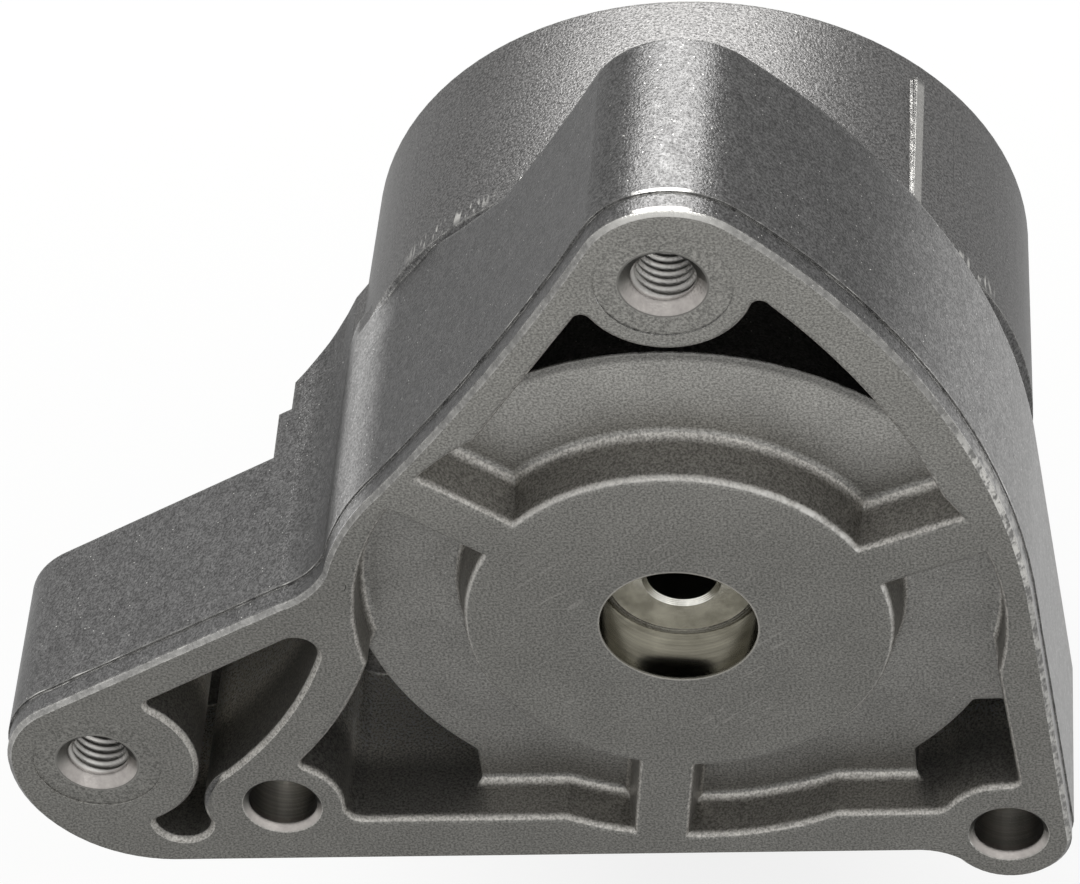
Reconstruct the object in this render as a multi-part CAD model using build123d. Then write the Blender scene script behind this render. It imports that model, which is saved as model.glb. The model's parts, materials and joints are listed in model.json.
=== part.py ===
from build123d import *
from math import atan2, cos, degrees, hypot, radians, sin, sqrt, tan
import os

# Belt tensioner: a die-cast spring housing with its mounting flange, a hollow pivot, a sprung
# arm with its damper, and an idler pulley on a ball bearing. Millimetres throughout.
# The pivot axis runs along Y through the origin. The machined mounting face lies at y = 0 and
# looks toward -Y. Z is up. Plan positions are written as (x, z), depths as y, and plan angles
# are measured from +X toward +Z.

# Casting, flange part
flange_depth = 30.0
parting_depth = 3.5
parting_step = 0.25
flange_draft = 0.5
void_depth = 25.5
floor_depth = 6.7
plate_thickness = 5.3
wall = 6.2

apex_centre = (3.9, 60.5)
apex_radius = 12.0
apex_hole = (2.9, 60.3)
apex_boss_radius = 11.0
ear_centre = (-77.8, -24.7)
ear_radius = 12.0
ear_depth = 28.0
ear_boss_radius = 13.2
left_hole = (-54.6, -33.8)
left_boss_radius = 8.3
left_boss_outside = 10.2
right_hole = (39.7, -41.3)
right_boss = (39.8, -42.2)
right_boss_radius = 8.3
right_boss_inside = 9.4
base_z = -45.1
side_x = 44.9
lower_corner_radius = 19.6
outer_edge = 0.6
land_edge = 1.0
boss_blend = 2.2
wall_blend = 1.0

# Fixing holes
thread_radius = 4.0
thread_depth = 20.0
countersink_radius = 5.5
spotface_radius = 8.4
spotface_depth = 0.2
plain_radius = 4.5
plain_chamfer = 0.8

# Casting, spring cup
cup_length = 68.8
cup_rim_radius = 43.2
cup_draft = 1.6
cup_wall = 3.6
cup_shoulder = 37.5
shoulder_step = 0.9
nose_step = 1.0
skirt_step = 1.4
hub_radius = 27.0
hub_draft = 9.0
foot_fillet = 1.4
spoke_width = 7.0
spoke_angles = (22.3, 142.3, 262.3)
inner_boss_radius = 16.0
inner_boss_end = 32.0
rib_angle = 46.1
rib_width = 1.5
rib_height = 0.5

# Pivot and its bearing
pilot_radius = 10.0
pilot_depth = 8.0
shaft_radius = 9.8
shaft_front = 8.1
shaft_bore = 4.5
swage_radius = 11.6
swage_height = 1.2
running_gap = 0.06
bush_wall = 1.95
washer_thickness = 1.7
outer_washer = 1.0
retaining_thickness = 2.0
face_gap = 0.3

# Arm
arm_length = 58.0
arm_angle = 262.3
arm_travel = 35.0
disc_clearance = 1.0
disc_inset = 6.8
seal_inset = 4.4
seal_groove = 3.0
seal_groove_depth = 2.2
rim_clearance = 1.0
beam_thickness = 9.5
hub_rise = 1.7
arm_hub_radius = 19.0
pulley_boss_radius = 14.0
pulley_boss_rise = 6.7
dog_start = 80.0
dog_stop = 100.0
dog_margin = 0.6
stop_span = 11.0
tool_angle = 200.0
tool_distance = 27.0
tool_radius = 11.5
tool_square = 12.9

# Spring and damper
wire_radius = 2.9
coil_turns = 5.5
coil_clearance = 0.8
sleeve_wall = 2.0
sleeve_clearance = 3.1
band_reach = 9.4
band_thickness = 1.0
lug_reach = 7.6
shoe_width = 18.0
shoe_start = 192.0
shoe_stop = 348.0
stop_length = 14.0

# Pulley and its bearing
pulley_radius = 33.0
pulley_width = 25.0
rim_wall = 3.6
web_thickness = 4.0
pulley_hub_wall = 3.4
pulley_ribs = 12
bearing_bore = 8.5
bearing_outer = 20.0
bearing_width = 12.0
spacer_length = 5.0
ball_radius = 3.37
ball_pitch = 14.25
ball_count = 8
inner_shoulder = 12.0
outer_shoulder = 16.6
race_gap = 0.05
bolt_radius = 5.0

# Sizes that follow from those above
cup_slope = tan(radians(cup_draft))
rim_inside = cup_rim_radius - cup_wall
nose_radius = cup_rim_radius - nose_step
cavity_radius = nose_radius - skirt_step
plate_back = floor_depth + plate_thickness
arm_underside = cup_length + rim_clearance
beam_top = arm_underside + beam_thickness
hub_top = beam_top + hub_rise
shaft_end = hub_top + outer_washer + face_gap + retaining_thickness
tube_near = inner_boss_end + washer_thickness + face_gap
disc_radius = rim_inside - disc_clearance
disc_near = cup_length - disc_inset
groove_near = cup_length - seal_inset
band_inner = rim_inside - band_reach
lug_inner = rim_inside - lug_reach
coil_radius = band_inner - wire_radius - coil_clearance
tube_radius = coil_radius - wire_radius - sleeve_wall - sleeve_clearance
shoe_far = disc_near - 4.0
shoe_near = shoe_far - shoe_width
stop_far = disc_near - 1.0
stop_near = stop_far - stop_length
pulley_boss_top = beam_top + pulley_boss_rise
pulley_middle = pulley_boss_top + spacer_length + bearing_width / 2
pulley_centre = (arm_length * cos(radians(arm_angle)), arm_length * sin(radians(arm_angle)))


def around(radius, angle, centre=(0, 0)):
    return (centre[0] + radius * cos(radians(angle)), centre[1] + radius * sin(radians(angle)))


def cup_outside(depth):
    return cup_rim_radius + (cup_length - depth) * cup_slope


def cup_inside(depth):
    return cup_rim_radius - cup_wall - (cup_length - depth) * cup_slope


def prism(face, near, far, taper=0):
    # A plan face pushed from depth near to depth far; a positive taper narrows it on the way.
    level = Plane(origin=(0, near, 0), x_dir=(1, 0, 0), z_dir=(0, -1, 0))
    return extrude(level * face, amount=far - near, dir=(0, 1, 0), taper=taper)


def rod(radius, near, far, centre=(0, 0)):
    upright = Cylinder(radius, far - near, align=(Align.CENTER, Align.CENTER, Align.MIN))
    return Pos(centre[0], near, centre[1]) * Rot(-90, 0, 0) * upright


def cone(near_radius, far_radius, near, far, centre=(0, 0)):
    upright = Cone(near_radius, far_radius, far - near, align=(Align.CENTER, Align.CENTER, Align.MIN))
    return Pos(centre[0], near, centre[1]) * Rot(-90, 0, 0) * upright


def turned(points, centre=(0, 0), start=0, stop=360):
    # Revolves a closed (radius, depth) profile about Y, from plan angle start to stop.
    profile = make_face(Polyline(*points, close=True))
    solid = revolve(profile, Axis.Y, revolution_arc=stop - start)
    return Pos(centre[0], 0, centre[1]) * Rot(0, -stop, 0) * solid


def ring(outer, inner, near, far, centre=(0, 0), start=0, stop=360):
    points = [(inner, near), (outer, near), (outer, far), (inner, far)]
    return turned(points, centre, start, stop)


def plate_between(first, first_radius, second, second_radius):
    # Plan outline of two round ends joined by their common tangents.
    run, rise = second[0] - first[0], second[1] - first[1]
    lean = degrees(atan2(rise, run))
    side = degrees(atan2(sqrt(run**2 + rise**2 - (first_radius - second_radius)**2),
                         first_radius - second_radius))
    a = around(first_radius, lean + side, first)
    b = around(second_radius, lean + side, second)
    c = around(second_radius, lean - side, second)
    d = around(first_radius, lean - side, first)
    edges = [Line(a, b), ThreePointArc(b, around(second_radius, lean, second), c),
             Line(c, d), ThreePointArc(d, around(first_radius, lean + 180, first), a)]
    return make_face(Curve() + edges)


def flange_outline():
    # Rounded triangle with a long ear on its left, in plan, anticlockwise from the base.
    base_right = (27.0, base_z)
    boss_left = around(right_boss_radius, 215, right_boss)
    boss_right = around(right_boss_radius, 355, right_boss)
    side_low = (side_x, 0)
    apex_right = around(apex_radius, 46, apex_centre)
    apex_left = around(apex_radius, 145, apex_centre)
    flank_low = (-35.9, 25.2)
    waist = (-44.2, 10.6)
    ear_root = (-50.5, 4.9)
    ear_top = around(ear_radius, 119.6, ear_centre)
    ear_left = around(ear_radius, 180, ear_centre)
    base_left = (ear_left[0] + lower_corner_radius, base_z)
    edges = [
        ThreePointArc(base_right, (30.6, -45.6), boss_left),
        ThreePointArc(boss_left, around(right_boss_radius, 285, right_boss), boss_right),
        Line(boss_right, side_low),
        ThreePointArc(side_low, (35.9, 36.4), apex_right),
        ThreePointArc(apex_right, around(apex_radius, 95, apex_centre), apex_left),
        ThreePointArc(apex_left, (-21.2, 44.2), flank_low),
        ThreePointArc(flank_low, (-40.6, 18.9), waist),
        ThreePointArc(waist, (-46.7, 7.3), ear_root),
        Line(ear_root, ear_top),
        ThreePointArc(ear_top, around(ear_radius, 150, ear_centre), ear_left),
        ThreePointArc(ear_left, (-84.2, -39.0), base_left),
        Line(base_left, base_right),
    ]
    return make_face(Curve() + edges)


def rounded(outline, blends):
    # Rounds the corners of a plan outline: each blend is (radius, list of places near the corners).
    for radius, places in blends:
        for place in places:
            corner = min(outline.vertices(), key=lambda v: hypot(v.X - place[0], v.Y - place[1]))
            outline = fillet([corner], radius)
    return outline


def cavity_outline():
    # Inside of the triangular skirt: straight walls, the round cup nose and three bosses.
    floor_z = base_z + 8.3
    right_low = (side_x + 3.1 - wall, floor_z)
    right_mid = (side_x - wall, 0)
    right_top = (12.6, 59.0)
    edges = [
        Line((-52.6, floor_z), right_low),
        Line(right_low, right_mid),
        ThreePointArc(right_mid, (31.0, 30.6), right_top),
        Line(right_top, (-7.2, 56.3)),
        Line((-7.2, 56.3), (-22.6, 33.6)),
        Line((-22.6, 33.6), (-40.2, -6.4)),
        ThreePointArc((-40.2, -6.4), (-44.7, -16.2), (-52.6, -27.0)),
        Line((-52.6, -27.0), (-52.6, floor_z)),
    ]
    outline = make_face(Curve() + edges) + Circle(cavity_radius)
    outline -= Pos(*apex_hole) * Circle(apex_boss_radius)
    outline -= Pos(*left_hole) * Circle(left_boss_radius)
    outline -= Pos(*right_hole) * Circle(right_boss_inside)
    return rounded(outline, [(boss_blend, [(-45.4, floor_z), (31.8, floor_z)]),
                             (wall_blend, [(-51.2, -26.2), (41.4, -32.1), (13.8, 57.4), (-7.3, 56.2)])])


def void_outlines(cavity):
    # Deep cored corners of the cavity, beyond the cup nose and the floor that runs out beside it.
    beside = [(-29.0, -26.0), (-29.0, base_z), (27.9, base_z), (27.9, -28.0)]
    right = [(34.0, -22.2), (side_x, -22.2), (side_x, 0), (34.0, 0)]
    floors = [make_face(Polyline(*points, close=True)) for points in (beside, right)]
    voids = cavity - (Circle(nose_radius) + floors)
    return rounded(voids, [(wall_blend, [(-29.0, -30.7), (-29.0, -36.8), (35.9, -22.2), (40.6, -22.2),
                                         (27.9, -31.7), (27.9, -36.8)])])


def ear_pocket_outline():
    # Deep pocket between the ear boss, the curved skirt wall and the left fixing boss.
    edges = [
        Line((-72.0, -14.5), (-50.7, -2.0)),
        ThreePointArc((-50.7, -2.0), (-47.6, -1.9), (-46.5, -5.0)),
        ThreePointArc((-46.5, -5.0), (-52.2, -16.5), (-61.2, -27.3)),
        ThreePointArc((-61.2, -27.3), around(left_boss_outside, 170, left_hole), (-64.5, -37.0)),
        ThreePointArc((-64.5, -37.0), (-68.0, -40.4), (-71.9, -36.2)),
        Line((-71.9, -36.2), (-72.0, -14.5)),
    ]
    outline = make_face(Curve() + edges) - Pos(*ear_centre) * Circle(ear_boss_radius)
    return rounded(outline, [(wall_blend, [(-70.6, -13.7), (-71.8, -36.5)])])


def hub_and_spokes():
    # Raised round hub and three spokes on the floor plate.
    star = Circle(hub_radius)
    inner, outer = hub_radius - 6.0, cavity_radius + 0.2
    for angle in spoke_angles:
        spoke = Rectangle(outer - inner, spoke_width)
        star += Pos(*around((inner + outer) / 2, angle)) * Rot(0, 0, angle) * spoke
    raised = prism(star, 0, floor_depth, taper=-hub_draft)
    plate = raised + rod(nose_radius + 3.8, floor_depth, plate_back)
    feet = [e for e in plate.edges().filter_by_position(Axis.Y, floor_depth - 0.01, floor_depth + 0.01)
            if hypot(e.center().X, e.center().Z) < cavity_radius - 0.8]
    plate = fillet(feet, foot_fillet)
    return plate & rod(nose_radius, -1, plate_back)


def threaded_hole(centre, spot=True):
    tool = rod(thread_radius, 0, thread_depth, centre)
    tool += cone(thread_radius, 0.1, thread_depth, thread_depth + 2.3, centre)
    tool += cone(countersink_radius, thread_radius, 0, countersink_radius - thread_radius, centre)
    if spot:
        tool += rod(spotface_radius, -1, spotface_depth, centre)
    return tool


def plain_hole(centre):
    far = flange_depth
    tool = rod(plain_radius, -1, far + 1, centre)
    tool += cone(plain_radius + plain_chamfer, plain_radius, 0, plain_chamfer, centre)
    tool += cone(plain_radius, plain_radius + plain_chamfer, far - plain_chamfer, far, centre)
    return tool


def plan_distance(edge, lines):
    middle = edge @ 0.5
    return min(line.distance_to(Vertex(middle.X, middle.Z, 0)) for line in lines)


def front_face(casting):
    return casting.faces().filter_by(GeomType.PLANE).sort_by(Axis.Y)[0]


def round_recesses(casting):
    # Rounds the front edge of each of the three recesses beside the hub.
    for angle in (90, 210, 330):
        x, z = around(hub_radius + 8, angle)
        loop = min(front_face(casting).inner_wires(), key=Vertex(x, 0, z).distance_to)
        casting = casting.fillet(land_edge, loop.edges())
    return casting


def make_housing():
    outline = flange_outline()
    cavity = cavity_outline()
    skirt = prism(offset(outline, -parting_step), outer_edge, parting_depth)
    skirt += prism(offset(outline, -parting_step - outer_edge), 0, outer_edge, taper=-45)
    body = prism(outline, parting_depth, flange_depth, taper=flange_draft)
    # The ear stops a little short of the flange depth.
    ear_relief = Pos(-97, ear_depth + 5, -20) * Box(90, 10, 90)
    casting = skirt + (body - ear_relief)

    # Left flank runs on along the cup, and its rear edge slants back toward the waist.
    flank = make_face(Polyline((-18, 52), (-50, 4), (-30, -4), (-6, 30), close=True)) & outline
    flank_solid = prism(flank, parting_depth, 40.0, taper=flange_draft)
    slant = make_face(Polyline((-60, 40.1), (-35.4, 40.1), (-19.5, 30.3), (0, 30.0), (0, 60), (-60, 60),
                               close=True))
    flank_solid -= extrude(Plane(origin=(0, 0, -60)) * slant, amount=160)
    casting += flank_solid

    # Web that carries the ear back along the cup, with its stepped rear edge.
    strip = make_face(Polyline((-54.2, 12.0), (-38.0, 21.0), (-36.0, 6.0), (-54.2, -4.2), close=True))
    strip &= outline
    web = prism(strip, parting_depth, 52.0, taper=flange_draft)
    web_profile = make_face(Polyline((-55, 15), (-55, 35.8), (-52.4, 35.8), (-52.4, 40.6),
                                     (-42.6, 50.2), (-30, 50.2), (-30, 15), close=True))
    casting += web & extrude(Plane(origin=(0, 0, -30)) * web_profile, amount=70)

    # Cup: a drafted cone behind the shoulder, a slimmer nose in front of it.
    cup = cone(cup_outside(cup_shoulder), cup_rim_radius, cup_shoulder, cup_length)
    neck = cup_outside(cup_shoulder) - shoulder_step
    cup += rod(neck, plate_back, cup_shoulder - shoulder_step)
    cup += cone(neck, cup_outside(cup_shoulder), cup_shoulder - shoulder_step, cup_shoulder)
    casting += cup
    rib_near, rib_far = cup_shoulder + 5.1, cup_length - 3.6
    rib_reach = cup_outside((rib_near + rib_far) / 2) + rib_height
    rib = Pos(rib_reach / 2, (rib_near + rib_far) / 2, 0) * Box(rib_reach, rib_far - rib_near, rib_width)
    rib = Rot(0, -rib_angle, 0) * rib
    casting += rib

    # Skirt cavity: shallow over the cup nose, deep in the corners outside it.
    voids = void_outlines(cavity)
    pocket = prism(cavity - voids, -1, floor_depth)
    wall_line, void_line = cavity.edges(), voids.edges()
    bottom = pocket.edges().filter_by_position(Axis.Y, floor_depth - 0.01, floor_depth + 0.01)
    pocket_feet = [e for e in bottom if plan_distance(e, wall_line) < 0.01 < plan_distance(e, void_line)]
    casting -= fillet(pocket_feet, foot_fillet)
    casting -= prism(voids, -1, void_depth)
    ear_pocket = ear_pocket_outline()
    casting -= prism(ear_pocket, -1, void_depth - 2)
    casting -= prism(offset(ear_pocket, outer_edge), 0, outer_edge, taper=45)
    casting += hub_and_spokes()

    # Spring room, open at the rim, with the inner boss that grips the pivot.
    room = cone(cup_inside(plate_back), cup_inside(cup_length), plate_back, cup_length)
    room += rod(cup_inside(cup_length), cup_length - 0.01, cup_length + 1)
    casting -= room - rod(inner_boss_radius, plate_back, inner_boss_end)
    casting += cone(inner_boss_radius + 2.5, inner_boss_radius, plate_back, plate_back + 2.5)

    # Stops for the arm on the cup wall, and the ledge the spring's fixed end pushes on.
    for start, stop in stop_angles():
        casting += ring(cup_inside(stop_near) + 1.0, lug_inner + 1.0, stop_near, stop_far,
                        start=start, stop=stop)
    casting += ring(coil_radius + 3.6, coil_radius - 3.6, plate_back, plate_back + 6.5, start=-14, stop=-0.5)

    casting = round_recesses(casting)

    # Machined holes.
    casting -= rod(pilot_radius, -1, pilot_depth)
    casting -= rod(shaft_radius, pilot_depth - 1, inner_boss_end + 1)
    casting -= threaded_hole(apex_hole)
    casting -= threaded_hole(ear_centre)
    casting -= plain_hole(left_hole)
    casting -= plain_hole(right_hole)
    return casting


def stop_angles():
    # The arm's dog turns clockwise in plan from rest, between two ribs on the cup wall.
    low, high = dog_start - arm_travel - dog_margin, dog_stop + dog_margin
    return [(low - stop_span, low), (high, high + stop_span)]


def make_shaft():
    shaft = rod(shaft_radius, shaft_front, shaft_end) + rod(swage_radius, shaft_end, shaft_end + swage_height)
    shaft = chamfer(shaft.edges().filter_by_position(Axis.Y, shaft_front - 0.01, shaft_front + 0.01), 0.3)
    shaft = fillet(shaft.edges().sort_by(Axis.Y)[-1], 0.6)
    shaft -= rod(shaft_bore, shaft_front - 1, shaft_end + 5)
    shaft -= cone(shaft_bore + 0.6, shaft_bore, shaft_front, shaft_front + 0.6)
    return shaft


def make_spring():
    near = plate_back + wire_radius
    far = disc_near - wire_radius - face_gap
    path = Helix(pitch=(far - near) / coil_turns, height=far - near, radius=coil_radius, lefthand=True)
    section = Plane(origin=path @ 0, z_dir=path % 0) * Circle(wire_radius)
    coil = sweep(section, path=path)
    return Pos(0, near, 0) * Rot(-90, 0, 0) * coil


def make_arm():
    tool_centre = around(tool_distance, tool_angle)
    beam = plate_between((0, 0), 24.0, pulley_centre, pulley_boss_radius)
    beam += plate_between((0, 0), 22.0, tool_centre, tool_radius)
    arm = prism(beam, arm_underside - 0.5, beam_top)
    arm = fillet(arm.edges().filter_by_position(Axis.Y, beam_top - 0.01, beam_top + 0.01), 1.5)
    arm += rod(disc_radius, disc_near, arm_underside)
    arm += cone(pulley_boss_radius, 12.4, arm_underside, pulley_boss_top, pulley_centre)
    arm += rod(arm_hub_radius, arm_underside, hub_top)
    arm += rod(tube_radius, tube_near, disc_near + 1)
    arm += cone(tube_radius, tube_radius + 3, disc_near - 3, disc_near)

    # Two lightening pockets beside a centre rib on the beam.
    lean = arm_angle
    for side in (-1, 1):
        middle = around(33.0, lean)
        shift = around(side * 6.4, lean + 90, middle)
        slot = Pos(*shift) * Rot(0, 0, lean + side * 3) * RectangleRounded(17.0, 7.5, 3.0)
        arm -= prism(slot, beam_top - 5.5, beam_top + 1)

    # Dog between the housing's stops, lugs that drag the damper shoe, ledge for the spring.
    arm += ring(cup_inside(stop_near) - 1.0, lug_inner, stop_near, disc_near + 1,
                start=dog_start, stop=dog_stop)
    lug = (cup_inside(shoe_near) - 1.0, band_inner)
    for start in (shoe_start - 7.5, shoe_stop + 0.5):
        arm += ring(*lug, shoe_near + 6, disc_near + 1, start=start, stop=start + 7)
    turn = 360 * (coil_turns % 1)
    arm += ring(coil_radius + 3.4, coil_radius - 3.4, disc_near - 6.5, disc_near + 1, start=turn + 1,
                stop=turn + 13)

    # Groove for the dust seal, bores and the square for the fitter's bar.
    arm -= ring(disc_radius + 1, disc_radius - seal_groove_depth, groove_near, groove_near + seal_groove)
    arm -= rod(shaft_radius + running_gap + bush_wall, tube_near - 1, hub_top + 1)
    arm -= rod(bolt_radius, arm_underside + 1.5, pulley_boss_top + 1, pulley_centre)
    square = Pos(*tool_centre) * Rot(0, 0, tool_angle) * Rectangle(tool_square, tool_square)
    arm -= prism(square, arm_underside - 1 + 2.5, beam_top + 1)
    return arm


def make_race(inner):
    # Bearing ring on the pulley centre; the groove is cut by a torus a little larger than the balls.
    near, far = pulley_middle - bearing_width / 2, pulley_middle + bearing_width / 2
    groove = Pos(pulley_centre[0], pulley_middle, pulley_centre[1]) * Rot(-90, 0, 0) * Torus(
        ball_pitch, ball_radius + race_gap)
    if inner:
        race = ring(inner_shoulder, bearing_bore, near, far, pulley_centre)
    else:
        race = ring(bearing_outer, outer_shoulder, near, far, pulley_centre)
        for side_near, side_far in ((near - 1, near + 1.2), (far - 1.2, far + 1)):
            race -= rod(outer_shoulder + 1, side_near, side_far, pulley_centre)
    return race - groove


def make_cage():
    cage = ring(15.15, 13.35, pulley_middle - 4.2, pulley_middle + 4.2, pulley_centre)
    for k in range(ball_count):
        pocket = Pos(ball_pitch, 0, 0) * Rot(0, 90, 0) * Cylinder(ball_radius + 0.1, 6.0)
        pocket = Rot(0, -360 * k / ball_count - arm_angle, 0) * pocket
        cage -= Pos(pulley_centre[0], pulley_middle, pulley_centre[1]) * pocket
    return cage


def ball_places():
    return [around(ball_pitch, 360 * k / ball_count + arm_angle, pulley_centre) for k in range(ball_count)]


def make_pulley():
    near, far = pulley_middle - pulley_width / 2, pulley_middle + pulley_width / 2
    half_hub = bearing_width / 2 + 2.6
    lip = bearing_outer - 1.4
    hub_outer = bearing_outer + pulley_hub_wall
    profile = [(pulley_radius, near + 0.8), (pulley_radius - 0.8, near),
               (pulley_radius - rim_wall + 0.6, near),
               (pulley_radius - rim_wall, pulley_middle - web_thickness / 2),
               (hub_outer, pulley_middle - web_thickness / 2), (hub_outer - 0.5, pulley_middle - half_hub),
               (lip, pulley_middle - half_hub), (lip, pulley_middle - bearing_width / 2),
               (bearing_outer, pulley_middle - bearing_width / 2)]
    mirrored = [(r, 2 * pulley_middle - y) for r, y in reversed(profile)]
    pulley = turned(profile + mirrored, pulley_centre)
    for k in range(pulley_ribs):
        lean = 360 * k / pulley_ribs
        spot = around((hub_outer + pulley_radius - rim_wall) / 2, lean, pulley_centre)
        rib = Pos(*spot) * Rot(0, 0, lean) * Rectangle(pulley_radius - rim_wall - hub_outer + 1.6, 1.8)
        pulley += prism(rib, pulley_middle - 8.0, pulley_middle + 8.0)
    return pulley


def make_dust_cap():
    seat = pulley_middle + bearing_width / 2 + 0.6
    lip = bearing_outer - 1.4
    top = seat + 9.6
    points = [(lip, seat), (lip, seat + 2.6), (lip - 1.4, seat + 3.2), (13.2, top - 0.6), (12.2, top),
              (0, top), (0, top - 1.2), (11.6, top - 1.2), (lip - 2.6, seat + 2.4), (lip - 1.6, seat)]
    return turned(points, pulley_centre)


def make_bolt():
    seat = pulley_middle + bearing_width / 2
    bolt = rod(bolt_radius, arm_underside + 3.0, seat, pulley_centre)
    bolt += rod(10.6, seat, seat + 1.5, pulley_centre)
    head = Pos(*pulley_centre) * RegularPolygon(radius=7.5, side_count=6, major_radius=False)
    hexagon = prism(head, seat + 1.4, seat + 7.4) & cone(12.0, 7.7, seat + 1.0, seat + 8.3, pulley_centre)
    return bolt + hexagon


def make_parts():
    near, far = pulley_middle - bearing_width / 2, pulley_middle + bearing_width / 2
    band_outer = band_inner + band_thickness
    seal_near, seal_far = groove_near + 0.1, groove_near + seal_groove - 0.1
    seal_inner, seal_ring = disc_radius - seal_groove_depth, (outer_shoulder + 1, inner_shoulder + 0.35)
    bush_outer = shaft_radius + running_gap + bush_wall
    parts = {
        "base_housing": make_housing(),
        "pivot_shaft": make_shaft(),
        "inner_thrust_washer": ring(14.8, shaft_radius, inner_boss_end,
                                    inner_boss_end + washer_thickness),
        "torsion_spring": make_spring(),
        "retaining_plate": ring(17.5, shaft_radius, shaft_end - retaining_thickness, shaft_end),
        "pivot_cap": rod(shaft_bore, shaft_end - 8.3, shaft_end + swage_height) + rod(
            8.0, shaft_end + swage_height, shaft_end + swage_height + 1.5),
        "tension_arm": make_arm(),
        "pivot_bushing": ring(bush_outer, shaft_radius + running_gap, tube_near + 0.5, hub_top - 0.5),
        "spring_sleeve": ring(tube_radius + sleeve_wall, tube_radius, tube_near + 4.0, disc_near - 3.2),
        "damper_band": ring(band_outer, band_inner, shoe_near + 1, shoe_far - 1,
                            start=shoe_start, stop=shoe_stop),
        "damper_shoe": turned([(band_outer, shoe_near), (cup_inside(shoe_near) - face_gap, shoe_near),
                               (cup_inside(shoe_far) - face_gap, shoe_far), (band_outer, shoe_far)],
                              start=shoe_start, stop=shoe_stop),
        "dust_seal": ring(cup_inside(seal_near) - face_gap, seal_inner, seal_near, seal_far),
        "outer_thrust_washer": ring(17.0, shaft_radius + 0.4, hub_top, hub_top + outer_washer),
        "pulley_spacer": turned([(bolt_radius, pulley_boss_top), (11.4, pulley_boss_top), (11.4, near),
                                 (bearing_bore, near), (bearing_bore, far - 0.2), (bolt_radius, far - 0.2)],
                                pulley_centre),
        "pulley_bolt": make_bolt(),
        "bearing_inner_ring": make_race(True),
        "bearing_outer_ring": make_race(False),
        "bearing_seal_near": ring(*seal_ring, near + 0.4, near + 1.2, pulley_centre),
        "bearing_seal_far": ring(*seal_ring, far - 1.2, far - 0.4, pulley_centre),
        "pulley": make_pulley(),
        "dust_cap": make_dust_cap(),
        "bearing_cage": make_cage(),
    }
    for number, (x, z) in enumerate(ball_places(), start=1):
        parts[f"bearing_ball_{number}"] = Pos(x, pulley_middle, z) * Sphere(ball_radius)
    return parts


os.makedirs("parts", exist_ok=True)
for name, solid in make_parts().items():
    export_step(solid, f"parts/{name}.step")
    print(name, round(solid.volume / 1000, 2), "cm3", len(solid.solids()), "solid")
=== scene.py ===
import bpy
import bmesh
import json
from math import cos, pi, radians, sin
from mathutils import Matrix, Vector


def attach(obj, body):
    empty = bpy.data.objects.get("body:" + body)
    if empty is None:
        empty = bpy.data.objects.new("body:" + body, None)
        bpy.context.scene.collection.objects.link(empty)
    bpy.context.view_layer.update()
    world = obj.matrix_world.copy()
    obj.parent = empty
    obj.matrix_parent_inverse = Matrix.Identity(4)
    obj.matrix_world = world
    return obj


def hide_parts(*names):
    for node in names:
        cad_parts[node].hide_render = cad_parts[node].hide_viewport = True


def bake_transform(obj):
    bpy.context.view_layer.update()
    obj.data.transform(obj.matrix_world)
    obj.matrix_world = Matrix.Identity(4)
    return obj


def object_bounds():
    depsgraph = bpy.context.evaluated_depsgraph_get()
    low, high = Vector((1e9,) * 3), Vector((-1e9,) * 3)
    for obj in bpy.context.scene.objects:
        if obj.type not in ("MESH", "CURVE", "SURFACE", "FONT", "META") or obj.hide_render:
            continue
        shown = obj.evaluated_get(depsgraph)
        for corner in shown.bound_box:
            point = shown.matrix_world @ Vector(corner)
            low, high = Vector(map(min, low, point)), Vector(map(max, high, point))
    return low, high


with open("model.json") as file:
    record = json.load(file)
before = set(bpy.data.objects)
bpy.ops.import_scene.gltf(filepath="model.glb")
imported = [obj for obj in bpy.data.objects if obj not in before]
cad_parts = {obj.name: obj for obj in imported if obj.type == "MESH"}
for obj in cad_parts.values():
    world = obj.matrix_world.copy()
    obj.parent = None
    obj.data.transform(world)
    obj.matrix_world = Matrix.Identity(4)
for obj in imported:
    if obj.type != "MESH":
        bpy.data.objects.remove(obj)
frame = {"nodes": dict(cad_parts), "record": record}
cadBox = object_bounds()
print("frame loaded:", len(frame["nodes"]), "nodes")

mm = 0.001
record = frame["record"]


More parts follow.
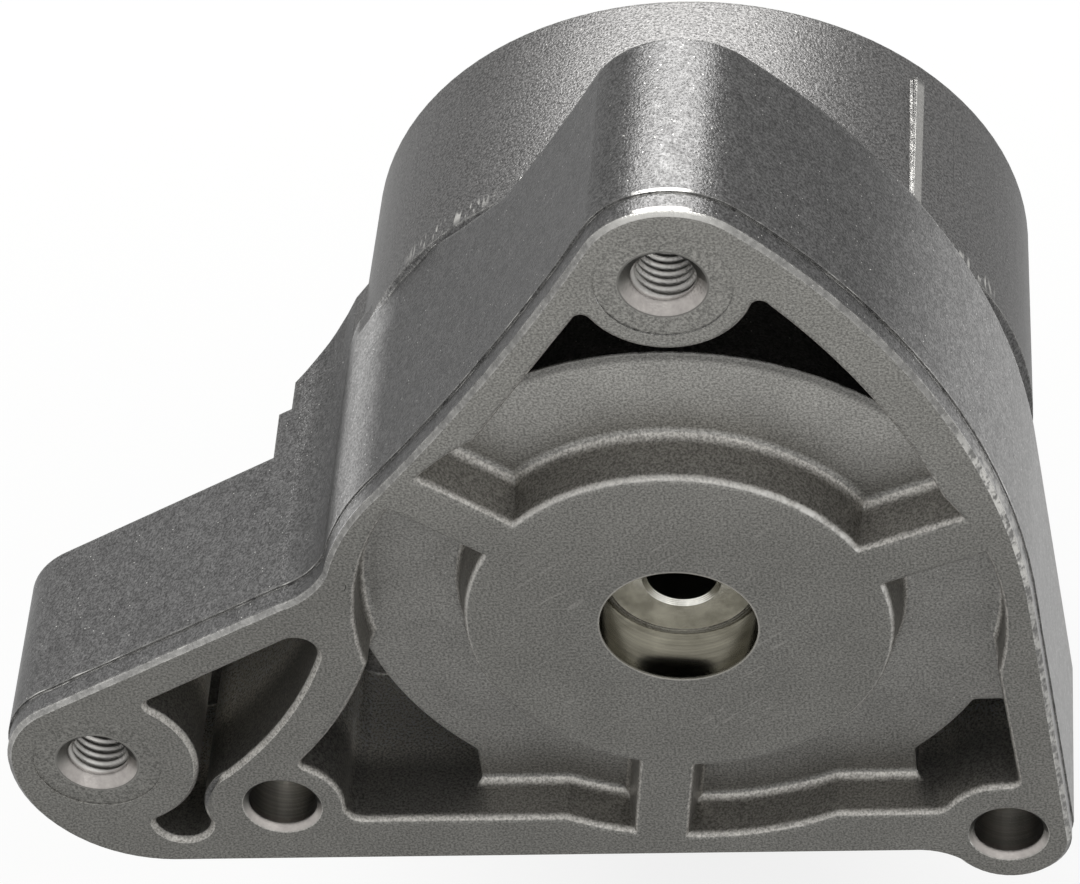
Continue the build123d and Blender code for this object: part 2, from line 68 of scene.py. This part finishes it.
class Wire:
    # A shader socket. Arithmetic on it adds Math nodes, and node() adds any other kind.
    def __init__(self, tree, socket=None):
        self.tree, self.socket = tree, socket

    def node(self, kind, settings=None, inputs=None, out=0):
        made = self.tree.nodes.new(kind)
        for key, value in (settings or {}).items():
            setattr(made, key, value)
        for key, value in (inputs or {}).items():
            if isinstance(value, Wire):
                self.tree.links.new(value.socket, made.inputs[key])
            elif value is not None:
                made.inputs[key].default_value = value
        return Wire(self.tree, made.outputs[out])

    def sibling(self, out):
        return Wire(self.tree, self.socket.node.outputs[out])

    def math(self, operation, a, b=None, clamp=False):
        return self.node("ShaderNodeMath", {"operation": operation, "use_clamp": clamp}, {0: a, 1: b})

    def __add__(self, other): return self.math("ADD", self, other)
    def __radd__(self, other): return self.math("ADD", other, self)
    def __sub__(self, other): return self.math("SUBTRACT", self, other)
    def __rsub__(self, other): return self.math("SUBTRACT", other, self)
    def __mul__(self, other): return self.math("MULTIPLY", self, other)
    def __rmul__(self, other): return self.math("MULTIPLY", other, self)
    def __pow__(self, other): return self.math("POWER", self, other)
    def __neg__(self): return self.math("MULTIPLY", self, -1.0)

    def absolute(self): return self.math("ABSOLUTE", self)
    def clamped(self): return self.math("ADD", self, 0.0, clamp=True)
    def most(self, other): return self.math("MAXIMUM", self, other)

    def step(self, low, high, start=0.0, stop=1.0):
        # Eases from start to stop while the value goes from low to high.
        return self.node("ShaderNodeMapRange", {"interpolation_type": "SMOOTHSTEP"},
                         {"Value": self, "From Min": low, "From Max": high, "To Min": start, "To Max": stop})

    def within(self, low, high, soft):
        return self.step(low - soft, low + soft) * self.step(high - soft, high + soft, 1.0, 0.0)


class Finish(Wire):
    # A new material with one Principled shader; the object's own coordinates are in metres.
    def __init__(self, name):
        self.material = bpy.data.materials.new(name)
        self.material.use_nodes = True
        tree = self.material.node_tree
        tree.nodes.clear()
        super().__init__(tree)
        self.shader = tree.nodes.new("ShaderNodeBsdfPrincipled")
        output = tree.nodes.new("ShaderNodeOutputMaterial")
        tree.links.new(self.shader.outputs[0], output.inputs[0])
        self.place = self.node("ShaderNodeTexCoord", out="Object")
        self.facing = self.place.sibling("Normal")
        self.x = self.node("ShaderNodeSeparateXYZ", None, {0: self.place}, "X")
        self.y, self.z = self.x.sibling("Y"), self.x.sibling("Z")
        self.nx = self.node("ShaderNodeSeparateXYZ", None, {0: self.facing}, "X")
        self.ny, self.nz = self.nx.sibling("Y"), self.nx.sibling("Z")

    def radius(self, centreX=0.0, centreZ=0.0):
        dx, dz = self.x - centreX, self.z - centreZ
        return (dx * dx + dz * dz) ** 0.5

    def stretched(self, sx, sy, sz, source=None):
        # Coordinates scaled per axis, so that a texture on them runs long where the scale is small.
        return self.node("ShaderNodeVectorMath", {"operation": "MULTIPLY"},
                         {0: source or self.place, 1: (sx, sy, sz)})

    def noise(self, size, detail=2.0, rough=0.5, source=None):
        # Features of about the given size in millimetres, 0 to 1.
        return self.node("ShaderNodeTexNoise", {"noise_type": "FBM"},
                         {"Vector": source or self.place, "Scale": 1.0 / (size * mm), "Detail": detail,
                          "Roughness": rough})

    def cells(self, size):
        # Distance to the nearest of scattered points, the given size in millimetres apart.
        return self.node("ShaderNodeTexVoronoi", {"feature": "F1"},
                         {"Vector": self.place, "Scale": 1.0 / (size * mm)}, "Distance")

    def tint(self, factor, first, second):
        first = first if isinstance(first, Wire) else (*first, 1)
        second = second if isinstance(second, Wire) else (*second, 1)
        return self.node("ShaderNodeMix", {"data_type": "RGBA"}, {0: factor, 6: first, 7: second}, 2)

    def shade(self, colour, level):
        # The colour made lighter or darker by a value.
        colour = colour if isinstance(colour, Wire) else tuple(colour)
        grey = self.node("ShaderNodeCombineXYZ", None, {0: level, 1: level, 2: level})
        return self.node("ShaderNodeVectorMath", {"operation": "MULTIPLY"}, {0: colour, 1: grey})

    def bump(self, height, depth, normal=None):
        # Height 0 to 1 stands for depth millimetres of relief.
        return self.node("ShaderNodeBump", None, {"Strength": 1.0, "Distance": depth * mm, "Height": height,
                                                  "Normal": normal})

    def softEdge(self, width):
        # Rounded-edge normal, and how far it turns away from the flat one.
        rounded = self.node("ShaderNodeBevel", {"samples": 2}, {"Radius": width * mm})
        flat = self.node("ShaderNodeNewGeometry", out="Normal")
        along = self.node("ShaderNodeVectorMath", {"operation": "DOT_PRODUCT"}, {0: rounded, 1: flat}, "Value")
        return rounded, (1.0 - along)

    def set(self, **values):
        for key, value in values.items():
            socket = self.shader.inputs[key.replace("_", " ")]
            if isinstance(value, Wire):
                self.tree.links.new(value.socket, socket)
            elif key == "Base_Color":
                socket.default_value = (*value, 1)
            else:
                socket.default_value = value
        return self.material


# Cast aluminium of the housing: one material, whose look changes over the casting as on the real one, with painted
# highlights, painted glints and painted light and shade laid over it.
castLook = {
    "face": (0.164, 0.161, 0.150),       # flat face, hub and spokes
    "floor": (0.176, 0.173, 0.163),      # bottoms of the shallow recesses
    "wall": (0.084, 0.083, 0.082),       # smooth drawn sides of the skirt and ear
    "cup": (0.112, 0.110, 0.108),        # shot-blasted spring cup
    "bright": (0.62, 0.61, 0.58),        # rubbed edges and burrs, and painted highlights and glints
    "recess": (0.300, 0.290, 0.270),     # sides of the recesses, painted lighter than the face to stand in for light reflected inside them
    "drilled": (0.420, 0.410, 0.390),    # inside of the plain holes
    "dark": (0.030, 0.029, 0.027),
    "holes": [(2.9, 60.3, 5.5), (-77.8, -24.7, 5.5), (-54.6, -33.8, 5.3), (39.7, -41.3, 5.3)],
    "chips": [(31.8, 6.0, 42.1, 2.2), (-24.0, 4.2, 43.1, 2.6), (-20.0, 6.2, 52.1, 1.4), (-40.6, 0.2, 8.1, 1.3)],
    "faceRough": 0.44, "wallRough": 0.34, "cupRough": 0.38, "boreRough": 0.13, "cutRough": 0.30,
    "grain": 0.32, "relief": 0.075,      # blasting grain and its depth, mm
    "shine": 0.72,                        # tint of the reflection at grazing angles
    "rib": 46.0, "hair": 37.0, "scratches": 38,   # plan angles, degrees
    "waist": (-40.3, 18.4, 9.0),          # painted highlight on the hollow of the left wall: plan place and reach, mm
    "cupRadius": 42.0 * mm, "cupOutside": 44.8 * mm, "hubRadius": 41.4 * mm,
    "shoulder": 37.3 * mm, "parting": 3.5 * mm, "crestFrom": 60 * mm, "boreRadius": 10.1 * mm,
}


def castAluminium():
    s = castLook
    f = Finish("castAluminium")
    r = f.radius()
    front = (-f.ny).step(0.80, 0.97)
    flat = front * f.y.step(0.3 * mm, 0.5 * mm, 1.0, 0.0)
    floor = front * f.y.within(4.0 * mm, 9.0 * mm, 0.5 * mm)
    cup = f.y.step(s["shoulder"], s["shoulder"] + 0.3 * mm) * r.within(s["cupRadius"], s["cupOutside"], 0.2 * mm)
    # Outer walls face away from the pivot axis; recess and hole walls don't, or lie in the ear's pocket.
    away = (f.nx * f.x + f.nz * f.z).step(3 * mm, 6 * mm)
    pocket = (f.z + 2 * mm - (f.x + 50.7 * mm) * 0.586).step(4 * mm, 3 * mm) * f.x.within(-74 * mm, -45 * mm, mm) \
        * f.z.step(-43.5 * mm, -42.5 * mm)
    hubArea = r.step(s["hubRadius"] + 0.2 * mm, s["hubRadius"] - 0.2 * mm) * f.y.step(7.5 * mm, 7.0 * mm)
    outside = away * (1.0 - pocket) * (1.0 - hubArea) * (1.0 - front) * (1.0 - cup)
    recess = (1.0 - front) * (1.0 - cup) * (1.0 - outside) * f.y.step(30 * mm, 26 * mm) * f.ny.step(0.6, 0.3)
    rounded, edge = f.softEdge(0.55)

    grain = f.noise(s["grain"], 1.0, 0.6)
    fine = f.noise(0.18, 0.0)
    cloud = f.noise(9.0, 2.0, 0.6)
    smear = f.noise(2.4, 2.0, 0.65)
    glint = f.cells(0.9).step(0.05, 0.12, 1.0, 0.0) * f.noise(1.7, 0.0).step(0.5, 0.6)

    # Colour: side walls first, then recess sides, the cup, floors and the flat face over them.
    speck = grain.step(0.25, 0.75) + 0.5 * fine
    coarse = f.noise(1.0, 1.0, 0.7).step(0.36, 0.64)
    # Painted light: the face and floors lighter towards the top, where they reflect the lit floor instead of the
    # object's shadow.
    upperPaintedLight = 1.0 + 0.42 * f.z.step(5 * mm, 48 * mm)
    wallTone = f.shade(f.tint(smear.step(0.3, 0.7), s["wall"], [1.18 * c for c in s["wall"]]),
                       (0.39 + 0.82 * speck) * (0.90 + 0.20 * coarse))
    # Painted light: recess sides lighter still the deeper they lie, standing in for light reflected inside the
    # recesses.
    recessPaintedLightTone = f.shade(f.tint(smear, s["recess"], [1.25 * c for c in s["recess"]]),
                         (0.42 + 0.80 * speck) * f.y.step(8 * mm, 14 * mm, 1.0, 2.6))
    cupTone = f.shade(f.tint(cloud, s["cup"], [1.10 * c for c in s["cup"]]), 0.34 + 0.92 * speck)
    # Floors: painted light lifts them towards the top, and painted shade darkens the upper floor's outer edge
    # beside the voids.
    floorTone = f.shade(f.tint(cloud.step(0.35, 0.65), s["floor"], [1.12 * c for c in s["floor"]]),
                        (0.42 + 0.78 * speck) * (upperPaintedLight + 0.32 * f.z.step(12 * mm, 32 * mm))
                        * (1.0 - 0.45 * r.step(40.4 * mm, 41.5 * mm) * f.z.step(15 * mm, 25 * mm)))
    faceTone = f.shade(f.tint(cloud.step(0.35, 0.65), s["face"], [1.08 * c for c in s["face"]]),
                       (0.42 + 0.78 * speck) * upperPaintedLight)
    colour = f.tint(recess, wallTone, recessPaintedLightTone)
    colour = f.tint(cup, colour, cupTone)
    colour = f.tint(floor, colour, floorTone)
    colour = f.tint(flat, colour, faceTone)
    # Painted glints: white sparkle specks on the walls and cup, standing in for lamp reflections off the blasted
    # grain.
    colour = f.tint(glint * (0.50 + 0.40 * outside) * (1.0 - flat * 0.7), colour, s["bright"])

    # Rubbed edges and a painted edge highlight, the burr along the parting line with painted highlight bands on the
    # apex, painted highlights on the rim, waist and right-facing walls, and fine scratches round the bore.
    ragged = f.noise(1.3, 2.0, 0.7)
    wornAndSheen = (edge * 4.0).clamped() * ragged.step(0.25, 0.60) * (1.0 - 0.8 * flat)
    rimHighlight = f.y.step(0.78 * mm, 0.62 * mm) * (-f.ny).within(0.35, 0.92, 0.04) * away * (1.0 - pocket)
    waistX, waistZ, waistReach = s["waist"]
    waist = f.radius(waistX * mm, waistZ * mm).step(waistReach * mm, 0.5 * mm) * outside * (1.0 - rimHighlight)
    # The apex's crest, where the top lamp's highlight falls: the painted rim highlight is strongest there and the
    # dark seam is left out.
    apex = f.z.step(s["crestFrom"], s["crestFrom"] + 6 * mm)
    crest = f.nx.within(-0.42, 0.38, 0.25) * apex
    # Painted light on the walls that face right.
    rightSideLight = f.nx.step(0.80, 0.98) * outside
    # Faces turned up: painted highlights on edges and the rim are stronger there.
    up = f.nz.step(-0.25, 0.35)
    partingWobble = f.noise(4.0, 1.0, 0.7) - 0.5
    seam = (f.y + partingWobble * (1.2 * mm)).within(s["parting"] - 0.10 * mm, s["parting"] + 0.12 * mm, 0.06 * mm)
    stretch = f.noise(6.0, 1.0, 0.65)
    burrAndHighlight = seam * outside * stretch.step(0.60, 0.68)
    crack = seam * outside * stretch.step(0.52, 0.46) * 0.7
    scratchAxes = f.node("ShaderNodeVectorRotate", {"rotation_type": "Y_AXIS"},
                         {0: f.place, "Angle": radians(s["scratches"])})
    hairs = f.noise(0.50, 0.0, 0.5, f.stretched(0.035, 1.0, 1.0, scratchAxes))
    scratch = hairs.step(0.71, 0.76) * flat * r.step(27 * mm, 14 * mm) * smear.step(0.40, 0.55)
    colour = f.tint(scratch * 0.40, colour, (0.36, 0.35, 0.33))
    # Painted highlight along the front edge's chamfer: ragged, strongest on the crest, on upward faces and on lower
    # right-facing walls.
    flakedAndSheen = ragged.step(0.38, 0.62) * (0.12 + 0.60 * f.nx.step(0.1, 0.5) * f.z.step(40 * mm, 25 * mm))
    rimHighlight = rimHighlight * (0.22 + flakedAndSheen + 0.60 * crest) * (0.30 + 0.70 * up)
    # Painted highlight bands across the apex, on the front edge and along the parting line, joined to the real
    # burr.
    apexHighlightBands = f.y.within(3.35 * mm, 4.0 * mm, 0.12 * mm).most(f.y.within(0.45 * mm, 1.15 * mm, 0.12 * mm))
    apexHighlightBands = apexHighlightBands * f.nx.within(-0.30, 0.24, 0.06) * apex * outside
    burrAndHighlight = burrAndHighlight.most(apexHighlightBands * 1.8 * ragged.step(0.25, 0.45))
    # Rubbed edges, with a painted highlight that is stronger on edges facing up.
    wornAndSheen = wornAndSheen * (0.15 + 0.85 * up)
    colour = f.tint((wornAndSheen * 0.60 + burrAndHighlight * 0.5 + rimHighlight).clamped(), colour, s["bright"])
    # Painted highlight on the waist hollow, painted light on right-facing walls, and the ear's outer walls made
    # lighter.
    colour = f.shade(colour, 1.0 + 3.0 * waist + 2.2 * rightSideLight + 0.3 * outside * f.x.step(-46 * mm, -52 * mm))
    colour = f.tint(crack * (1.0 - crest) * 0.6, colour, s["dark"])

    # Bore wall and its deburred mouth, and the cut metal of the threaded and plain holes.
    bore = r.step(s["boreRadius"] + 0.05 * mm, s["boreRadius"] - 0.05 * mm) * f.y.step(8.3 * mm, 8.0 * mm)
    mouth = r.within(s["boreRadius"] - 0.10 * mm, s["boreRadius"] + 0.12 * mm, 0.03 * mm) * flat
    holes = None
    for holeX, holeZ, reach in s["holes"]:
        near = f.radius(holeX * mm, holeZ * mm).step((reach + 0.12) * mm, (reach - 0.02) * mm)
        holes = near if holes is None else holes.most(near)
    cut = holes * f.y.step(0.02 * mm, 0.20 * mm) * f.ny.step(0.8, 0.5)   # not the blind bosses' backs
    lip = cut * f.y.step(2.0 * mm, 1.6 * mm)
    rings = f.noise(0.35, 0.0, 0.5, f.stretched(0.02, 1.0, 0.02))
    boreTone = f.shade(f.tint(f.noise(6.0, 0.0), (0.26, 0.25, 0.21), (0.50, 0.48, 0.42)), 0.5 + 0.4 * rings)
    colour = f.tint(bore, colour, boreTone)
    colour = f.tint(cut, colour, f.shade(s["drilled"], 0.7 + 0.6 * rings))
    # Painted light and shade in the holes' mouths: dark where the wall faces down, lighter and ragged where it
    # faces up.
    lipShadeAndSheen = f.tint(f.nz.step(-0.15, 0.45), (0.13, 0.13, 0.12),
                     f.tint(ragged, (0.27, 0.25, 0.24), (0.52, 0.49, 0.46)))
    colour = f.tint(lip, colour, lipShadeAndSheen)
    colour = f.tint(mouth * 0.35, colour, (0.50, 0.48, 0.45))

    # Painted highlight standing in for the ejector rib, and the faint tool mark beside it, on the cup's upper
    # right.
    turn = f.node("ShaderNodeMath", {"operation": "ARCTAN2"}, {0: f.z, 1: f.x}) * (180 / pi)
    rib = turn.within(s["rib"] - 0.85, s["rib"] + 0.85, 0.12) * cup \
        * f.y.step(42.6 * mm, 43.2 * mm) * f.y.step(65.0 * mm, 64.0 * mm)
    hair = turn.within(s["hair"] - 0.07, s["hair"] + 0.07, 0.06) * cup * f.y.within(43 * mm, 63 * mm, mm)
    sides = turn.within(122, 140, 4).most(turn.within(26, 42, 3))
    ticks = f.noise(0.55, 0.0, 0.5, f.stretched(1.0, 0.22, 1.0)).step(0.54, 0.62) * cup * sides \
        * f.y.within(s["shoulder"] + 0.9 * mm, s["shoulder"] + 2.6 * mm, 0.8 * mm)
    flash = outside * f.y.step(3.4 * mm, 3.0 * mm) * f.x.step(28 * mm, 32 * mm) \
        * f.z.within(6 * mm, 30 * mm, 5 * mm) * ragged.step(0.42, 0.60)
    colour = f.tint((rib * 0.36 + ticks * 0.7 + flash * 0.6).clamped(), colour, s["bright"])
    chipped = None
    for x, y, z, reach in s["chips"]:
        away3 = f.node("ShaderNodeVectorMath", {"operation": "DISTANCE"},
                       {0: f.place, 1: (x * mm, y * mm, z * mm)}, "Value")
        spot = away3.step(reach * mm, 0.6 * reach * mm)
        chipped = spot if chipped is None else chipped.most(spot)
    vein = (f.noise(3.0, 1.0, 0.6) - 0.5).absolute().step(0.022, 0.008) * chipped
    colour = f.tint((hair * 0.45 + vein * 0.9).clamped(), colour, s["dark"])

    rough = s["wallRough"] + cup * (s["cupRough"] - s["wallRough"])
    rough = rough + (flat + floor + recess).clamped() * (s["faceRough"] - s["wallRough"])
    rough = rough + (grain - 0.5) * 0.16 - wornAndSheen * 0.15
    rough = rough * (1.0 - bore) + bore * s["boreRough"]
    rough = rough * (1.0 - cut) + cut * s["cutRough"]
    rough = rough + crack * 0.3

    relief = grain * (0.40 + 0.65 * cup + 0.45 * outside) * (1.0 - bore)
    normal = f.bump(relief, s["relief"], rounded)
    f.set(Base_Color=colour, Metallic=1.0, Roughness=rough.clamped(), Normal=normal,
          Specular_Tint=(s["shine"], s["shine"], s["shine"], 1))
    return f.material


# Bare metals of the hidden side, each with its own marks.
metalLook = {
    "arm_casting": {"tone": (0.185, 0.183, 0.176), "rough": 0.50, "grain": 0.45, "relief": 0.04},
    "plated_steel": {"tone": (0.42, 0.42, 0.40), "rough": 0.32, "grain": 0.6, "relief": 0.006},
    "zinc_bolt": {"tone": (0.40, 0.40, 0.41), "rough": 0.30, "grain": 0.5, "relief": 0.008},
    "spring_steel": {"tone": (0.060, 0.058, 0.056), "rough": 0.42, "grain": 0.6, "relief": 0.010},
    "bearing_steel": {"tone": (0.55, 0.55, 0.54), "rough": 0.12, "grain": 0.3, "relief": 0.001},
    "cage_steel": {"tone": (0.36, 0.36, 0.35), "rough": 0.30, "grain": 0.5, "relief": 0.004},
    "bush_bronze": {"tone": (0.42, 0.27, 0.12), "rough": 0.34, "grain": 0.5, "relief": 0.006},
}


def bareMetal(slot):
    s = metalLook[slot]
    f = Finish(slot)
    grain = f.noise(s["grain"], 2.0, 0.6)
    cloud = f.noise(7.0, 3.0, 0.6)
    rounded, edge = f.softEdge(0.30)
    # Edges lighter: rubbed wear, with a painted edge highlight.
    wornAndSheen = (edge * 4.0).clamped() * f.noise(1.5, 2.0, 0.6).step(0.35, 0.6)
    colour = f.shade(f.tint(cloud, s["tone"], [0.82 * c for c in s["tone"]]), 0.85 + 0.30 * grain)
    colour = f.tint(wornAndSheen * 0.5, colour, [min(1.0, 1.6 * c + 0.08) for c in s["tone"]])
    rough = s["rough"] + (grain - 0.5) * 0.12 + (cloud - 0.5) * 0.10
    f.set(Base_Color=colour, Metallic=1.0, Roughness=rough.clamped(), Normal=f.bump(grain, s["relief"], rounded))
    return f.material


# End face of the pivot: turned, with fine rings about its axis and a brighter chamfer.
shaftLook = {"tone": (0.78, 0.77, 0.71), "rough": 0.15, "ringPitch": 0.16 * mm, "front": 9.0 * mm}


def turnedSteel():
    s = shaftLook
    f = Finish("machined_steel")
    r = f.radius()
    end = f.y.step(s["front"] + 0.2 * mm, s["front"])
    wave = f.node("ShaderNodeMath", {"operation": "SINE"}, {0: r * (2 * pi / s["ringPitch"])})
    rings = (wave * 0.5 + 0.5) * end
    blotch = f.noise(3.5, 3.0, 0.6)
    streak = f.noise(0.7, 2.0, 0.6, f.stretched(1.0, 0.05, 1.0))
    colour = f.shade(f.tint(blotch.step(0.35, 0.7), s["tone"], (0.46, 0.45, 0.40)), 0.82 + 0.36 * streak)
    colour = f.tint(rings * 0.25, colour, (0.62, 0.61, 0.58))
    rough = s["rough"] + (blotch - 0.5) * 0.16 + rings * 0.05
    f.set(Base_Color=colour, Metallic=1.0, Roughness=rough.clamped(),
          Normal=f.bump(rings + streak * 0.3, 0.006))
    return f.material


# Moulded plastics and rubber.
plasticLook = {
    "washer_plastic": {"tone": (0.62, 0.58, 0.48), "rough": 0.42, "mottle": 0.10},
    "natural_plastic": {"tone": (0.66, 0.62, 0.52), "rough": 0.44, "mottle": 0.12},
    "black_plastic": {"tone": (0.020, 0.020, 0.021), "rough": 0.38, "mottle": 0.20},
    "pulley_plastic": {"tone": (0.026, 0.026, 0.027), "rough": 0.42, "mottle": 0.30},
    "seal_rubber": {"tone": (0.015, 0.015, 0.016), "rough": 0.60, "mottle": 0.25},
}


def mouldedPlastic(slot):
    s = plasticLook[slot]
    f = Finish(slot)
    grain = f.noise(0.5, 2.0, 0.5)
    flow = f.noise(5.0, 3.0, 0.6, f.stretched(1.0, 0.4, 1.0))
    rounded, edge = f.softEdge(0.25)
    colour = f.shade(f.tint((edge * 3.0).clamped() * 0.4, s["tone"], [min(1.0, c * 1.5 + 0.02) for c in s["tone"]]),
                     1.0 - s["mottle"] / 2 + flow * s["mottle"])
    rough = s["rough"] + (grain - 0.5) * 0.12 + (flow - 0.5) * 0.14
    f.set(Base_Color=colour, Roughness=rough.clamped(), Normal=f.bump(grain, 0.008, rounded))
    return f.material


finishes = {"cast_aluminium": castAluminium(), "machined_steel": turnedSteel()}
for slotName in metalLook:
    finishes[slotName] = bareMetal(slotName)
for slotName in plasticLook:
    finishes[slotName] = mouldedPlastic(slotName)
for entry in record["subparts"]:
    nodeMesh = frame["nodes"][entry["node"]].data
    nodeMesh.materials.clear()
    nodeMesh.materials.append(finishes[entry["material_slot"]])
print("finishes:", len(finishes))


def addPiece(name, builder, slot, body, smooth=True):
    mesh = bpy.data.meshes.new(name)
    builder.normal_update()
    builder.to_mesh(mesh)
    builder.free()
    for face in mesh.polygons:
        face.use_smooth = smooth
    piece = bpy.data.objects.new(name, mesh)
    bpy.context.scene.collection.objects.link(piece)
    piece.data.materials.append(finishes[slot])
    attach(piece, body)
    return piece


def closedSweep(work, rows):
    # A closed solid through rows of vertices, each row one outline.
    count = len(rows[0])
    for first, second in zip(rows, rows[1:]):
        for i in range(count):
            j = (i + 1) % count
            work.faces.new((first[i], first[j], second[j], second[i]))
    work.faces.new(rows[0][::-1])
    work.faces.new(rows[-1])
    bmesh.ops.recalc_face_normals(work, faces=work.faces)
    return work


# Thread ridges of the two M8 holes: one closed helical ridge in each.
threadLook = {"outer": 4.02, "crest": 3.42, "flat": 0.10, "root": 0.56, "pitch": 1.25, "near": 1.7, "far": 19.4,
              "steps": 40, "places": {"apexThread": (2.9, 60.3), "earThread": (-77.8, -24.7)}}


def threadRidge(centreX, centreZ):
    s = threadLook
    work = bmesh.new()
    turns = (s["far"] - s["near"]) / s["pitch"]
    count = int(turns * s["steps"])
    rows = []
    for k in range(count + 1):
        angle = 2 * pi * k / s["steps"]
        depth = s["near"] + (s["far"] - s["near"]) * k / count
        fade = min(1.0, k / 14, (count - k) / 14) * 0.92 + 0.08   # runs out at both ends
        crest = s["outer"] - (s["outer"] - s["crest"]) * fade
        profile = [(s["outer"], depth - s["root"] * fade), (crest, depth - s["flat"] * fade),
                   (crest, depth + s["flat"] * fade), (s["outer"], depth + s["root"] * fade)]
        rows.append([work.verts.new(((centreX + r * cos(angle)) * mm, y * mm, (centreZ - r * sin(angle)) * mm))
                     for r, y in profile])
    return closedSweep(work, rows)


for threadName, (holeX, holeZ) in threadLook["places"].items():
    addPiece(threadName, threadRidge(holeX, holeZ), "cast_aluminium", "base", smooth=False)


# Stepped web that carries the ear back along the cup: outer line in plan, and its rear edge's depth.
webLook = {"thick": 6.0, "near": 24.0, "ear": 27.6, "draft": 0.0087, "proud": 0.08, "sunk": 0.10,
           "line": [(-53.7, 2.75, 35.8), (-51.92, 3.76, 35.8), (-51.88, 3.79, 40.6), (-50.5, 4.57, 41.9),
                    (-49.0, 5.25, 43.8), (-47.6, 6.05, 45.5), (-46.7, 6.77, 46.6), (-45.1, 8.45, 48.4),
                    (-43.8, 10.4, 49.5), (-41.5, 13.0, 50.2)]}


def webSolid():
    s = webLook
    work = bmesh.new()
    rows = []
    for x, z, rear in s["line"]:
        drop = (rear - s["ear"]) * s["draft"]
        under = z - s["thick"]
        corners = [(x, s["near"], z - s["sunk"]), (x, s["ear"], z + s["proud"]), (x, rear, z + s["proud"] - drop),
                   (x, rear, under), (x, s["near"], under)]
        rows.append([work.verts.new([c * mm for c in corner]) for corner in corners])
    return closedSweep(work, rows)


addPiece("earWeb", webSolid(), "cast_aluminium", "base", smooth=False)
print("threads and web done")


# The torsion spring: a copy of its mesh set in world place, with the model's own spring part hidden.
def makeWindingSpring():
    node = frame["nodes"]["torsion_spring"]
    mesh = node.data.copy()
    mesh.transform(node.matrix_world)
    spring = bpy.data.objects.new("windingSpring", mesh)
    bpy.context.scene.collection.objects.link(spring)
    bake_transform(spring)
    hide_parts("torsion_spring")


makeWindingSpring()
print("spring done")


# Floor and lights.
studioLook = {
    "floorTone": (0.80, 0.80, 0.79), "floorShow": 0.80, "sky": 0.36,
    "lamps": {
        "topSoftbox": {"at": (-0.06, 0.78, 0.80), "size": (1.10, 0.38), "radiance": 11.0},
        "leftStrip": {"at": (-1.00, 0.45, 0.25), "size": (0.30, 0.80), "radiance": 0.7},
        "rightStrip": {"at": (1.00, 0.40, 0.15), "size": (0.30, 0.80), "radiance": 0.7},
        "frontFill": {"at": (0.15, -1.15, 0.35), "size": (0.90, 0.60), "radiance": 0.9},
    },
}


def cameraSight(f):
    # 1 for what the camera sees straight, in a reflection or through glass.
    path = f.node("ShaderNodeLightPath", out="Is Camera Ray")
    return path.most(path.sibling("Is Glossy Ray")).most(path.sibling("Is Transmission Ray"))


def makeStudio():
    s = studioLook
    low = cadBox[0][2] - 0.15 * mm
    bpy.ops.mesh.primitive_plane_add(size=6.0, location=(0, 0, low))
    floor = bpy.context.object
    floor.name = "studioFloor"
    f = Finish("studioFloor")
    f.set(Base_Color=s["floorTone"], Roughness=0.9, Specular_IOR_Level=0.0)
    white = f.node("ShaderNodeEmission", None, {"Color": (1, 1, 1, 1), "Strength": 1.0})
    plain = Wire(f.tree, f.shader.outputs[0])
    mixed = f.node("ShaderNodeMixShader", None, {0: cameraSight(f) * s["floorShow"], 1: plain, 2: white})
    output = [n for n in f.tree.nodes if n.type == "OUTPUT_MATERIAL"][0]
    f.tree.links.new(mixed.socket, output.inputs[0])
    floor.data.materials.append(f.material)

    world = bpy.data.worlds.new("studioWorld")
    bpy.context.scene.world = world
    world.use_nodes = True
    sky = Wire(world.node_tree)
    world.node_tree.nodes.clear()
    seen = cameraSight(sky)
    strength = s["sky"] + seen * (1.0 - s["sky"])
    shine = sky.node("ShaderNodeBackground", None, {"Color": (1, 1, 1, 1), "Strength": strength})
    end = world.node_tree.nodes.new("ShaderNodeOutputWorld")
    world.node_tree.links.new(shine.socket, end.inputs[0])

    for name, lamp in s["lamps"].items():
        light = bpy.data.lights.new(name, "AREA")
        light.shape = "RECTANGLE"
        light.size, light.size_y = lamp["size"]
        light.energy = lamp["radiance"] * pi * lamp["size"][0] * lamp["size"][1]
        lampObject = bpy.data.objects.new(name, light)
        lampObject.location = lamp["at"]
        lampObject.rotation_euler = (Vector((0, 0.03, 0)) - Vector(lamp["at"])).to_track_quat("-Z", "Y").to_euler()
        bpy.context.scene.collection.objects.link(lampObject)


makeStudio()

# Camera where the photograph was taken from, found from the bore, the floor disc and the cup's rim.
cameraLook = {
    "at": (68.076, -501.263, 557.998),
    "right": (0.99341522, 0.06329202, -0.09550034),
    "up": (0.02015337, 0.72402398, 0.68948032),
    "back": (0.11278314, -0.6868649, 0.7179809),
    "lens": 200.0, "sensor": 36.0,
}


def makeCamera():
    s = cameraLook
    camera = bpy.data.cameras.new("photoCamera")
    camera.lens, camera.sensor_width, camera.sensor_fit = s["lens"], s["sensor"], "HORIZONTAL"
    camera.clip_start, camera.clip_end = 0.05, 20.0
    cameraObject = bpy.data.objects.new("photoCamera", camera)
    columns = [s["right"], s["up"], s["back"]]
    place = Matrix([[columns[c][r] for c in range(3)] + [s["at"][r] * mm] for r in range(3)] + [[0, 0, 0, 1]])
    cameraObject.matrix_world = place
    bpy.context.scene.collection.objects.link(cameraObject)
    bpy.context.scene.camera = cameraObject


makeCamera()
bpy.context.scene.view_settings.view_transform = "Standard"
print("studio and camera done")
